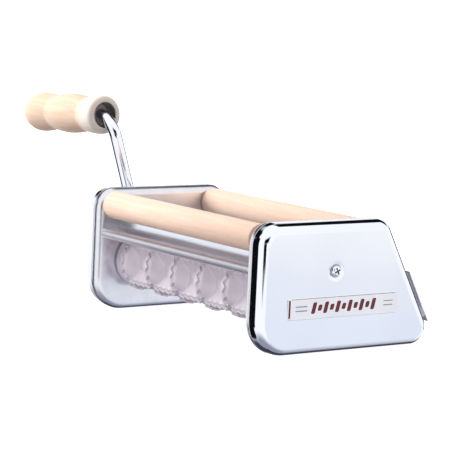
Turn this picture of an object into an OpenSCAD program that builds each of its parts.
/* [Housings] */
// Distance between the inner faces of the two side frames
bed_width = 200; // [180:1:220]
// Height of a housing
housing_h = 100; // [96:1:110]
// Depth of a housing along its foot
housing_base = 175.5; // [174:0.5:178]
// Depth of a housing along its top
housing_top = 121.5; // [120:0.5:123]
// Depth of a side frame's turned rim
frame_depth = 7.8; // [7.8:0.2:8]
// Distance from a side frame's inner face to the outer face of its cover
housing_depth = 19.6; // [19:0.2:24]
// Radius of the pressed edge around a cover's face
cover_edge_r = 8; // [6:0.5:9]
// Sheet thickness of side frames, hopper plates and hooks
sheet = 1.2; // [1:0.1:1.4]

/* [Guide rollers] */
// Diameter of the two wooden guide rollers
guide_d = 22; // [18:0.5:22]
// Height of the wooden rollers' axes above the table
guide_z = 86.8; // [86.8:0.1:88]
// Distance from the housings' front edge to the front wooden roller's axis
guide_setback = 13.8; // [13:0.1:15]
// Distance between the two wooden rollers' axes
guide_spacing = 97.6; // [96:0.1:100]

/* [Mould rollers] */
// Teeth of each timing gear
gear_teeth = 32; // [32:4:32]
// Module of the timing gears
gear_module = 1.5; // [1.5]
// Height of the mould rollers' axes above the table
mould_z = 41.3; // [40:0.1:43]
// Distance from the housings' front edge to the front mould roller's axis
mould_setback = 39; // [38:0.1:41]
// Radius of the mould rollers' plain end bands
land_r = 21.3; // [20.8:0.1:21.5]
// Radius over the crests of the arched ridges that pinch the dough
crest_r = 23.7; // [23:0.1:23.8]
// Side of one pasta square, ridge to ridge
pitch = 35; // [33:0.5:36]
// Pasta squares along a roller
columns = 5; // [5]
// Depth of a pocket below the end bands
pocket_depth = 9; // [7:0.5:10]

/* [Crank] */
// Diameter of the bent crank rod
rod_d = 10.5; // [9.5:0.5:11]
// Distance from the bed's middle to the corner between the crank's shaft and arm
arm_x = 166; // [158:0.2:170]
// Length of the crank's arm, corner to corner
arm_l = 115.5; // [105:0.5:125]
// Lean of the arm towards the front at rest
arm_lean = 15.7; // [0:0.1:30]
// Outward tilt of the arm
arm_tilt = 3.8; // [0:0.1:5]
// Radius of the rod's bends along its middle
bend_r = 20; // [18:0.5:20]
// Length of the wooden grip
grip_l = 122; // [115:1:125]

/* [Hidden] */
$fn = 48;

// Housing outline, in (Y, Z), with the origin near the middle of the foot
front_y = -86.5;
rear_y = front_y + housing_base;
top_rear_y = front_y + housing_top;
rear_slope = atan2(rear_y - top_rear_y, housing_h);
foot_front_r = 28;
top_front_r = 17;
top_rear_r = 15;
foot_rear_r = 14;

// Walls, from the bed's middle outwards
web_x = bed_width / 2;
rim_x = web_x + frame_depth;
face_x = web_x + housing_depth;
web_out_x = web_x + sheet;
frame_edge_r = 3.2;
cover_wall = 1;

// Axes, as [Y, Z]
front_mould = [front_y + mould_setback, mould_z];
rear_mould = front_mould + [gear_teeth * gear_module, 0];
front_guide = [front_y + guide_setback, guide_z];
rear_guide = front_guide + [guide_spacing, 0];
nip_y = (front_mould[0] + rear_mould[0]) / 2;
front_rod = [front_y + 6.8, 64];
upper_rear_rod = [front_y + 127, 62];
lower_rear_rod = [rear_y - 30, 15];
right_screw = [front_y + 70.6, 62.8];
left_screw = [nip_y, 74];

// Tie rods and cover fixings
tie_rod_d = 8;
tie_screw_d = 4;
tie_head_d = 5.6;
tie_head_h = 2.4;
post_d = 8;
cover_screw_d = 4;
cover_head_d = 8.4;
cover_head_h = 2.6;

// Mould rollers and their shafts
roller_l = bed_width - 3;
shaft_d = 12;
journal_d = 10;
running_gap = 0.06;
bush_d = 14;
bush_flange_d = 20;
bush_flange_t = 1;
bush_l = 5;
ridge_w = 2.4;
pocket_wall = [27, 25];
pocket_floor = [11, 7];
pocket_edge_angle = 35;
notch = 5;
pin_d = 3;
pin_x = 93.5;
gear_x = web_x + 6;
gear_w = 8;
gear_backlash = 0.2;
key_size = 3;
clip_t = 1;
clip_d = 15;
groove_d = 9;
shaft_end_x = web_x + 17;

// Wooden rollers
guide_l = bed_width - 2.4;
guide_pin_d = 6;
guide_pin_in = 14;
guide_bush_d = 10;
guide_bush_flange_d = 14;
guide_bush_flange_t = 0.8;
guide_bush_l = 3.2;

// Hopper plates, as seen in (Y, Z) for the front one
lip_y = front_y + 20;
lip_top = 75;
lip_h = 12;
chute_end = [nip_y - 7.5, 64.5];
tab_w = 12;
tab_h = 10;
rivet_d = 3;
rivet_head_d = 5.5;
rivet_head_h = 1;

// Rear hooks, measured along and out from the rear slope
hook_from = 15;
hook_h = 45;
hook_out = 7.4;
hook_w = 9;
hook_leg_in = 12;

// Crank
coupling_d = 16;
coupling_x = gear_x + gear_w + 0.2;
coupling_end_x = face_x + 14.4;
coupling_shaft_end_x = face_x + 3;
socket = 7.2;
tang = 7;
tang_gap = 0.4;
shoulder_gap = 0.1;
axle_d = 8;
bend_swell = 0.04;
bend_overlap = 0.5;
grip_start = 9;
ferrule_d = 22.2;
ferrule_wall = 0.6;
ferrule_l = 14;
grip_screw_d = 5;
grip_head_d = 12;
grip_head_h = 3;
grip_head_depth = 7;
steel = "silver";
wood = "burlywood";

// Points along an arc
function arc(c, r, from, to, steps = 5) =
  [for (i = [0 : steps]) let (a = from + (to - from) * i / steps) c + r * [cos(a), sin(a)]];

// The housing outline, drawn in from its edge by d
function outline(d) = concat(
  arc([front_y + foot_front_r, foot_front_r], foot_front_r - d, 270, 180),
  arc([front_y + top_front_r, housing_h - top_front_r], top_front_r - d, 180, 90),
  arc([top_rear_y + top_rear_r * (sin(rear_slope) - 1) / cos(rear_slope), housing_h - top_rear_r],
      top_rear_r - d, 90, rear_slope),
  arc([rear_y - foot_rear_r * (1 + sin(rear_slope)) / cos(rear_slope), foot_rear_r],
      foot_rear_r - d, rear_slope, -90));

// A slab cut to an outline given in (Y, Z), from x0 to x1
module slab(x0, x1, points) {
  translate([x0, 0, 0]) rotate([90, 0, 90]) linear_extrude(x1 - x0) polygon(points);
}

// A cylinder along X through a point [Y, Z]
module bar(x0, x1, d, at = [0, 0]) {
  translate([x0, at[0], at[1]]) rotate([0, 90, 0]) cylinder(h = x1 - x0, d = d);
}

module on_both_sides() {
  children();
  mirror([1, 0, 0]) children();
}

// A solid pressing whose flat end faces +X, with its edge rounded to radius r
module dome(x0, x1, r, d) {
  hull() {
    slab(x0, x0 + 0.01, outline(d));
    for (a = [0 : 30 : 90])
      slab(x1 - r * (1 - sin(a)) - 0.01, x1 - r * (1 - sin(a)), outline(d + r * (1 - cos(a))));
  }
}

// Holes through a side frame's web
module web_holes() {
  for (at = [front_mould, rear_mould]) bar(web_x - 1, web_out_x + 1, bush_d, at);
  for (at = [front_guide, rear_guide]) bar(web_x - 1, web_out_x + 1, guide_bush_d, at);
  for (at = [front_rod, upper_rear_rod, lower_rear_rod]) bar(web_x - 1, web_out_x + 1, tie_screw_d, at);
  for (at = hopper_rivet_points()) bar(web_x - 1, web_out_x + 1, rivet_d, at);
  for (at = hook_rivet_points()) bar(web_x - 1, web_out_x + 1, rivet_d, at);
}

module side_frame(post_at) {
  color(steel) difference() {
    mirror([1, 0, 0]) dome(-rim_x, -web_x, frame_edge_r, 0);
    mirror([1, 0, 0]) dome(-rim_x - 1, -web_out_x, frame_edge_r - sheet, sheet);
    web_holes();
    bar(web_x - 1, web_out_x + 1, post_d - 2, post_at);
  }
}

module right_side_frame() { side_frame(right_screw); }

module left_side_frame() { mirror([1, 0, 0]) side_frame(left_screw); }

module cover(screw_at) {
  color(steel) difference() {
    dome(rim_x, face_x, cover_edge_r, 0);
    dome(rim_x - 1, face_x - cover_wall, cover_edge_r - cover_wall, cover_wall);
    bar(face_x - 2, face_x + 1, cover_screw_d, screw_at);
  }
}

module right_cover() { cover(right_screw); }

module left_cover() {
  mirror([1, 0, 0]) difference() {
    cover(left_screw);
    color(steel) bar(face_x - 2, face_x + 1, coupling_d + 2, rear_mould);
  }
}

module cover_post(at) {
  difference() {
    union() {
      bar(web_x, web_out_x, post_d - 2, at);
      bar(web_out_x, face_x - cover_wall, post_d, at);
    }
    bar(face_x - 11, face_x, cover_screw_d, at);
  }
}

module cover_posts() {
  color(steel) {
    cover_post(right_screw);
    mirror([1, 0, 0]) cover_post(left_screw);
  }
}

// A pan-head screw along X whose head sits on the plane x0
module pan_screw(x0, length, d, head_d, head_h, at) {
  r = head_d / 2;
  translate([x0, at[0], at[1]]) rotate([0, 90, 0]) difference() {
    union() {
      translate([0, 0, -length]) cylinder(h = length + 0.1, d = d);
      rotate_extrude() polygon([[0, 0], [r, 0], [r, 0.5 * head_h], [0.8 * r, 0.85 * head_h],
                                [0.45 * r, head_h], [0, head_h]]);
    }
    for (turn = [0, 90]) rotate([0, 0, turn]) translate([0, 0, head_h])
      cube([head_d * 0.5, head_d * 0.13, head_h * 1.1], center = true);
  }
}

module cover_screws() {
  color(steel) {
    pan_screw(face_x, 9, cover_screw_d, cover_head_d, cover_head_h, right_screw);
    mirror([1, 0, 0]) pan_screw(face_x, 9, cover_screw_d, cover_head_d, cover_head_h, left_screw);
  }
}

module name_plate() {
  plate = [106.6, 16.6];
  corner = 2.5;
  low = [front_y + 26, 27.6];
  c0 = low + [corner, corner];
  c1 = low + plate - [corner, corner];
  color("white") slab(face_x, face_x + 0.5, concat(
    arc(c0, corner, 270, 180), arc([c0[0], c1[1]], corner, 180, 90),
    arc(c1, corner, 90, 0), arc([c1[0], c0[1]], corner, 0, -90)));
}

module tie_rod(at) {
  color(steel) difference() {
    bar(-web_x, web_x, tie_rod_d, at);
    on_both_sides() bar(web_x - 11, web_x + 1, tie_screw_d, at);
  }
}

module front_tie_rod() { tie_rod(front_rod); }

module upper_rear_tie_rod() { tie_rod(upper_rear_rod); }

module lower_rear_tie_rod() { tie_rod(lower_rear_rod); }

module tie_rod_screws() {
  color(steel) on_both_sides()
    for (at = [front_rod, upper_rear_rod, lower_rear_rod])
      pan_screw(web_out_x, 10, tie_screw_d, tie_head_d, tie_head_h, at);
}

// Rivet places under the front plate's slope, and the same behind the nip
function hopper_rivet_points() =
  [for (s = [-1, 1], y = [6, 14]) [nip_y + s * (nip_y - lip_y - y), lip_top - 8]];

function hook_rivet_points() =
  [for (s = [hook_from + 9, hook_from + hook_h - 9])
    [rear_y, 0] + s * [-sin(rear_slope), cos(rear_slope)]
      - 7 * [cos(rear_slope), sin(rear_slope)]];

// The front hopper plate: a lip, a slope down to the nip and a riveted tab at each end
module hopper_plate() {
  slope = (lip_top - chute_end[1]) / (chute_end[0] - lip_y);
  tab_y = lip_y + 4;
  tab_top = lip_top - slope * (tab_y + tab_w - lip_y);
  tab_low = lip_top - 8 - tab_h / 2 + 1;
  color(steel) {
    slab(-web_x, web_x, [
      [lip_y, lip_top - lip_h], [lip_y, lip_top], [lip_y + 0.6, lip_top + sheet], chute_end + [0, sheet],
      chute_end, [lip_y + sheet, lip_top - 0.2], [lip_y + sheet, lip_top - lip_h]]);
    on_both_sides() difference() {
      slab(web_x - sheet, web_x, [
        [tab_y, tab_low], [tab_y, lip_top - slope * (tab_y - lip_y) + 0.4],
        [tab_y + tab_w, tab_top + 0.4], [tab_y + tab_w, tab_low]]);
      for (at = hopper_rivet_points()) bar(web_x - 3, web_x + 1, rivet_d, at);
    }
  }
}

module front_hopper_plate() { hopper_plate(); }

module rear_hopper_plate() { translate([0, 2 * nip_y, 0]) mirror([0, 1, 0]) hopper_plate(); }

// A round-headed rivet through one tab and the web
module rivet(at) {
  bar(web_x - sheet, web_out_x, rivet_d, at);
  for (x = [web_x - sheet - rivet_head_h, web_out_x])
    bar(x, x + rivet_head_h, rivet_head_d, at);
}

module hopper_rivets() {
  color(steel) on_both_sides() for (at = hopper_rivet_points()) rivet(at);
}

// A bracket on each web whose turned leg stands parallel to the rear slope
module rear_hooks() {
  color(steel) on_both_sides() difference() {
    translate([web_x - sheet, rear_y, 0]) rotate([rear_slope, 0, 0]) translate([0, 0, hook_from]) {
      translate([0, -hook_leg_in, 0]) cube([sheet, hook_out + hook_leg_in, hook_h]);
      translate([0, hook_out - sheet, 0]) cube([sheet + hook_w, sheet, hook_h]);
    }
    for (at = hook_rivet_points()) bar(web_x - 3, web_x + 1, rivet_d, at);
  }
}

module hook_rivets() {
  color(steel) on_both_sides() for (at = hook_rivet_points()) rivet(at);
}

module bush(at, d, bore, flange_d, flange_t, length) {
  difference() {
    union() {
      bar(web_x, web_x + length, d, at);
      bar(web_x - flange_t, web_x, flange_d, at);
    }
    bar(web_x - flange_t - 1, web_x + length + 1, bore, at);
  }
}

module roller_bushes() {
  color("peru") on_both_sides() for (at = [front_mould, rear_mould])
    bush(at, bush_d, journal_d + 2 * running_gap, bush_flange_d, bush_flange_t, bush_l);
}

module guide_bushes() {
  color("white") on_both_sides() for (at = [front_guide, rear_guide])
    bush(at, guide_bush_d, guide_pin_d + 2 * running_gap, guide_bush_flange_d,
         guide_bush_flange_t, guide_bush_l);
}

// Four-sided pit that narrows to its floor, opening towards +Z, on the roller's axis
module pocket() {
  floor_z = land_r - pocket_depth;
  edge_z = land_r * cos(pocket_edge_angle);
  top_z = crest_r + 2;
  low = pocket_floor / 2;
  rise = [(pocket_wall[0] / 2 - low[0]) / pocket_depth, (pocket_wall[1] / 2 - low[1]) / (edge_z - floor_z)];
  high = low + rise * (top_z - floor_z);
  polyhedron(
    points = [for (level = [[low, floor_z], [high, top_z]], s = [[-1, -1], [1, -1], [1, 1], [-1, 1]])
      [s[0] * level[0][0], s[1] * level[0][1], level[1]]],
    faces = [[0, 1, 2, 3], [7, 6, 5, 4], [4, 5, 1, 0], [5, 6, 2, 1], [6, 7, 3, 2], [7, 4, 0, 3]]);
}

// Radius over a ridge, which arches between the corners of a square, part of the way along a side
function ridge_r(part) = land_r + (crest_r - land_r) * sin(180 * part);

module ridge_ring(x) {
  sides = 32;
  slab(x - ridge_w / 2, x + ridge_w / 2, [for (k = [0 : sides - 1])
    let (a = k * 360 / sides + 45) ridge_r((4 * k / sides) % 1) * [cos(a), sin(a)]]);
}

// The four ridges along one column of squares, whose middle is at x
module ridge_arches(x) {
  steps = 6;
  arch = [for (k = [0 : steps]) [x + pitch * (k / steps - 0.5), ridge_r(k / steps)]];
  for (turn = [45 : 90 : 315]) rotate([turn + 90, 0, 0]) linear_extrude(ridge_w, center = true)
    polygon(concat([[x - pitch / 2, land_r - 4]], arch, [[x + pitch / 2, land_r - 4]]));
}

// A mould roller on the X axis: pockets between pinching ridges that stop at each corner
module mould_roller() {
  field = columns * pitch;
  color("thistle") difference() {
    union() {
      bar(-roller_l / 2, roller_l / 2, 2 * land_r);
      for (i = [0 : columns]) ridge_ring(i * pitch - field / 2);
      for (i = [1 : columns]) ridge_arches((i - 0.5) * pitch - field / 2);
    }
    for (turn = [0 : 90 : 270]) rotate([turn, 0, 0]) {
      for (i = [1 : columns]) translate([(i - 0.5) * pitch - field / 2, 0, 0]) pocket();
      for (i = [0 : columns]) rotate([45, 0, 0])
        translate([i * pitch - field / 2 - notch / 2, -notch / 2, land_r - 0.6]) cube([notch, notch, 3]);
    }
    bar(-roller_l, roller_l, shaft_d);
    translate([pin_x, 0, -2 * crest_r]) cylinder(h = 4 * crest_r, d = pin_d);
  }
}

module at_axis(at) { translate([0, at[0], at[1]]) children(); }

module front_mould_roller() { at_axis(front_mould) mould_roller(); }

module rear_mould_roller() { at_axis(rear_mould) mould_roller(); }

// Steel shaft on the X axis; left_end is where it stops inside the left housing
module roller_shaft(left_end) {
  color(steel) difference() {
    union() {
      bar(-roller_l / 2, roller_l / 2, shaft_d);
      bar(-left_end, web_x + 9, journal_d);
    }
    translate([pin_x, 0, -shaft_d]) cylinder(h = 2 * shaft_d, d = pin_d);
    clip_groove(web_x + bush_l + 0.2);
    translate([-gear_x - gear_w, -key_size / 2, journal_d / 2 - key_size / 2])
      cube([gear_w, key_size, key_size]);
    children();
  }
}

module clip_groove(x0) {
  difference() {
    bar(x0, x0 + clip_t, journal_d + 2);
    bar(x0 - 1, x0 + clip_t + 1, groove_d);
  }
}

module front_roller_shaft() {
  at_axis(front_mould) roller_shaft(shaft_end_x) clip_groove(-coupling_x - clip_t);
}

module rear_roller_shaft() {
  at_axis(rear_mould) roller_shaft(coupling_shaft_end_x)
    translate([-coupling_x - 3, 0, -shaft_d]) cylinder(h = 2 * shaft_d, d = pin_d);
}

module roller_pin() {
  color(steel) translate([pin_x, 0, -land_r + 0.5]) cylinder(h = 2 * land_r - 1, d = pin_d);
}

module front_roller_pin() { at_axis(front_mould) roller_pin(); }

module rear_roller_pin() { at_axis(rear_mould) roller_pin(); }

// An open retaining ring in its groove
module clip(x0) {
  difference() {
    bar(x0, x0 + clip_t, clip_d);
    bar(x0 - 1, x0 + clip_t + 1, groove_d);
    translate([x0 - 1, -2, -clip_d]) cube([clip_t + 2, 4, clip_d]);
  }
}

module front_shaft_clips() {
  color(steel) at_axis(front_mould) {
    clip(web_x + bush_l + 0.2);
    clip(-coupling_x - clip_t);
  }
}

module rear_shaft_clip() { color(steel) at_axis(rear_mould) clip(web_x + bush_l + 0.2); }

// Involute spur gear profile
function involute(a) = tan(a) * 180 / PI - a;

function half_tooth(r, base_r) =
  90 / gear_teeth + involute(20) - involute(r > base_r ? acos(base_r / r) : 0)
    - gear_backlash / (gear_teeth * gear_module) * 180 / PI / 2;

function gear_points() =
  let (pitch_r = gear_teeth * gear_module / 2, base_r = pitch_r * cos(20),
       radii = [pitch_r - 1.25 * gear_module, for (k = [0 : 4])
                base_r + (pitch_r + gear_module - base_r) * k / 4])
  [for (t = [0 : gear_teeth - 1], side = [-1, 1], k = [0 : 5])
    let (r = radii[side < 0 ? k : 5 - k], a = t * 360 / gear_teeth + side * half_tooth(r, base_r))
      r * [cos(a), sin(a)]];

module timing_gear(turn) {
  color("gray") difference() {
    rotate([turn, 0, 0]) slab(-gear_x - gear_w, -gear_x, gear_points());
    bar(-gear_x - gear_w - 1, -gear_x + 1, journal_d);
    translate([-gear_x - gear_w - 1, -key_size / 2, 0])
      cube([gear_w + 2, key_size, journal_d / 2 + key_size / 2]);
    for (a = [30 : 60 : 330]) rotate([a, 0, 0]) bar(-gear_x - gear_w - 1, -gear_x + 1, 7, [0, 13]);
  }
}

module front_timing_gear() { at_axis(front_mould) timing_gear(180 / gear_teeth); }

module rear_timing_gear() { at_axis(rear_mould) timing_gear(0); }

module gear_key() {
  color(steel) translate([-gear_x - gear_w, -key_size / 2, journal_d / 2 - key_size / 2])
    cube([gear_w, key_size, key_size]);
}

module front_gear_key() { at_axis(front_mould) gear_key(); }

module rear_gear_key() { at_axis(rear_mould) gear_key(); }

module wooden_roller(at) {
  color(wood) at_axis(at) difference() {
    bar(-guide_l / 2, guide_l / 2, guide_d);
    on_both_sides() bar(guide_l / 2 - guide_pin_in, guide_l, guide_pin_d);
  }
}

module front_wooden_roller() { wooden_roller(front_guide); }

module rear_wooden_roller() { wooden_roller(rear_guide); }

module guide_pins(at) {
  color(steel) on_both_sides() bar(guide_l / 2 - guide_pin_in, web_x + guide_bush_l + 1, guide_pin_d, at);
}

module front_guide_pins() { guide_pins(front_guide); }

module rear_guide_pins() { guide_pins(rear_guide); }

// The crank's own plane: X outwards along the shaft, Z up the arm, before it leans
module in_crank_frame() { at_axis(rear_mould) rotate([arm_lean, 0, 0]) children(); }

module crank_coupling() {
  color(steel) in_crank_frame() difference() {
    bar(-coupling_end_x, -coupling_x, coupling_d);
    bar(-coupling_shaft_end_x, -coupling_x + 1, journal_d);
    translate([-coupling_end_x - 1, -socket / 2, -socket / 2])
      cube([coupling_end_x - coupling_shaft_end_x + 1, socket, socket]);
    rotate([-arm_lean, 0, 0]) translate([-coupling_x - 3, 0, -shaft_d])
      cylinder(h = 2 * shaft_d, d = pin_d);
  }
}

module coupling_pin() {
  color(steel) at_axis(rear_mould) translate([-coupling_x - 3, 0, -coupling_d / 2])
    cylinder(h = coupling_d, d = pin_d);
}

// A bend of the rod in the XZ plane about the origin, from an angle above +X.
// Bending leaves it a hair thicker than the straights, which run a little way into it.
module rod_bend(from, turn) {
  rotate([90, 0, 0]) rotate([0, 0, from])
    rotate_extrude(angle = turn) translate([bend_r, 0]) circle(d = rod_d + bend_swell);
}

// Frame at the arm's outer corner, with the grip's axis along local -X
module at_grip() {
  in_crank_frame() translate([-arm_x, 0, 0]) rotate([0, -arm_tilt, 0])
    translate([0, 0, arm_l]) children();
}

module crank_rod() {
  turn = 90 - arm_tilt;
  foot = bend_r * tan(turn / 2);
  color(steel) {
    in_crank_frame() {
      translate([-coupling_end_x - shoulder_gap, -tang / 2, -tang / 2])
        cube([coupling_end_x + shoulder_gap - coupling_shaft_end_x - tang_gap, tang, tang]);
      bar(-arm_x + foot - bend_overlap, -coupling_end_x - shoulder_gap, rod_d);
      translate([-arm_x + foot, 0, bend_r]) rod_bend(270 - turn, turn);
      translate([-arm_x, 0, 0]) rotate([0, -arm_tilt, 0]) translate([0, 0, foot - bend_overlap])
        cylinder(h = arm_l - foot - bend_r + 2 * bend_overlap, d = rod_d);
    }
    at_grip() difference() {
      union() {
        translate([-bend_r, 0, -bend_r]) rod_bend(0, 90);
        bar(shoulder_gap - grip_start - ferrule_l, bend_overlap - bend_r, rod_d);
        bar(-grip_start - grip_l + grip_head_depth, shoulder_gap - grip_start - ferrule_l, axle_d);
      }
      bar(-grip_start - grip_l, -grip_start - grip_l + grip_head_depth + 14, grip_screw_d);
    }
  }
}

// Radius of the grip at distance s from its open end, and its domed far end
function grip_r(s) = s < 26 ? 14.6 + 2 * sin(180 * min(1, (s + 8) / 34))
  : s < 78 ? 14.6 + 2.6 * sin(180 * (s - 26) / 52)
  : s < 100 ? 14.6 + 2.6 * sin(90 * (s - 78) / 22)
  : 17.2 * sqrt(max(0, 1 - pow((s - 100) / (grip_l - 99.8), 2)));

module grip_profile() {
  polygon(concat([[0, 0]], [for (s = [0 : 2 : grip_l]) [grip_r(s), s]], [[0, grip_l]]));
}

module on_grip_axis() { at_grip() translate([-grip_start, 0, 0]) rotate([0, -90, 0]) children(); }

module crank_grip() {
  color(wood) on_grip_axis() difference() {
    rotate_extrude() grip_profile();
    translate([0, 0, -1]) cylinder(h = grip_l + 2, d = axle_d + 2 * running_gap);
    translate([0, 0, -1]) cylinder(h = ferrule_l + 1, d = ferrule_d);
    translate([0, 0, grip_l - grip_head_depth]) cylinder(h = grip_l, d = grip_head_d + 1);
  }
}

module grip_ferrule() {
  color(steel) on_grip_axis() difference() {
    cylinder(h = ferrule_l, d = ferrule_d);
    translate([0, 0, -1]) cylinder(h = ferrule_l + 2, d = ferrule_d - 2 * ferrule_wall);
  }
}

module grip_screw() {
  color(steel) on_grip_axis() translate([0, 0, grip_l - grip_head_depth]) {
    cylinder(h = grip_head_h, d = grip_head_d);
    translate([0, 0, -13]) cylinder(h = 13.1, d = grip_screw_d);
  }
}

right_side_frame();
left_side_frame();
right_cover();
left_cover();
cover_posts();
cover_screws();
name_plate();
front_tie_rod();
upper_rear_tie_rod();
lower_rear_tie_rod();
tie_rod_screws();
front_hopper_plate();
rear_hopper_plate();
hopper_rivets();
rear_hooks();
hook_rivets();
roller_bushes();
guide_bushes();
front_mould_roller();
front_roller_shaft();
front_roller_pin();
front_timing_gear();
front_gear_key();
front_shaft_clips();
rear_mould_roller();
rear_roller_shaft();
rear_roller_pin();
rear_timing_gear();
rear_gear_key();
rear_shaft_clip();
crank_coupling();
coupling_pin();
front_wooden_roller();
front_guide_pins();
rear_wooden_roller();
rear_guide_pins();
crank_rod();
crank_grip();
grip_ferrule();
grip_screw();
